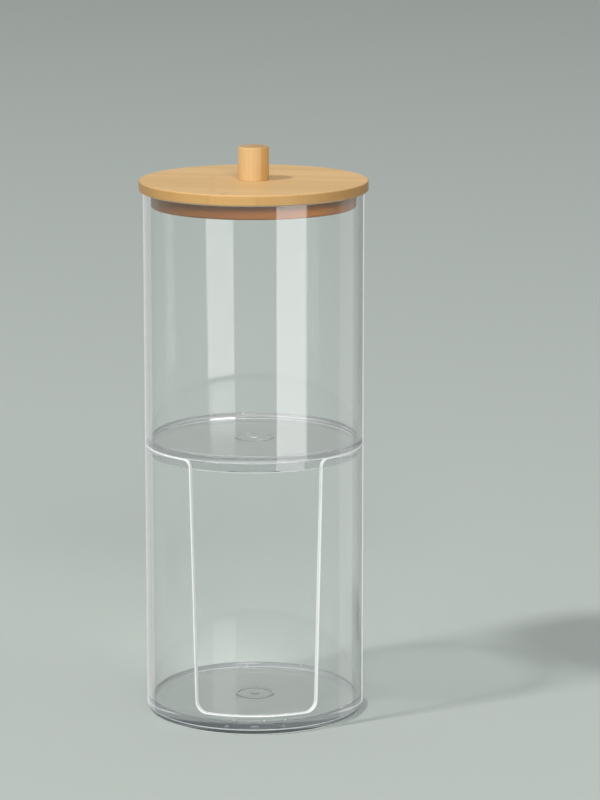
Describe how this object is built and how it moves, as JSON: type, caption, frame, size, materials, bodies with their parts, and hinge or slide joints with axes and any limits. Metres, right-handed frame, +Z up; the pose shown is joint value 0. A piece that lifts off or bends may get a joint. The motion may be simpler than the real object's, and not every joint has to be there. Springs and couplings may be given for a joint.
{
  "type": "cotton pad holder",
  "caption": "Clear round cotton pad cup with a front slot, a clear swab jar that nests in its rim, and a bamboo lid with a turned knob.",
  "frame": {"origin": "centre of the lower cup's base, on the surface that it stands on", "axes": "+Z up along the cups' axis, -Y out of the front slot, +X to the right seen from the front"},
  "size_m": [0.0736, 0.0736, 0.185],
  "materials": {
    "clear_plastic": "clear, polished as moulded",
    "bamboo": "sanded, thin matt lacquer",
    "bamboo_plug": "sanded, thin matt lacquer",
    "bamboo_knob": "sanded, thin matt lacquer",
    "screw_steel": "zinc plated"
  },
  "bodies": {
    "lower_cup": {"lower_cup": "clear_plastic"},
    "upper_jar": {"upper_jar": "clear_plastic"},
    "lid": {"lid_disc": "bamboo", "lid_plug": "bamboo_plug", "lid_knob": "bamboo_knob", "knob_screw": "screw_steel"}
  },
  "joints": [
    {"name": "jar_lift", "type": "slide", "parent": "lower_cup", "child": "upper_jar", "axis": [0, 0, 1], "range_m": [0, 0.04]},
    {"name": "lid_lift", "type": "slide", "parent": "upper_jar", "child": "lid", "axis": [0, 0, 1], "range_m": [0, 0.04]}
  ]
}
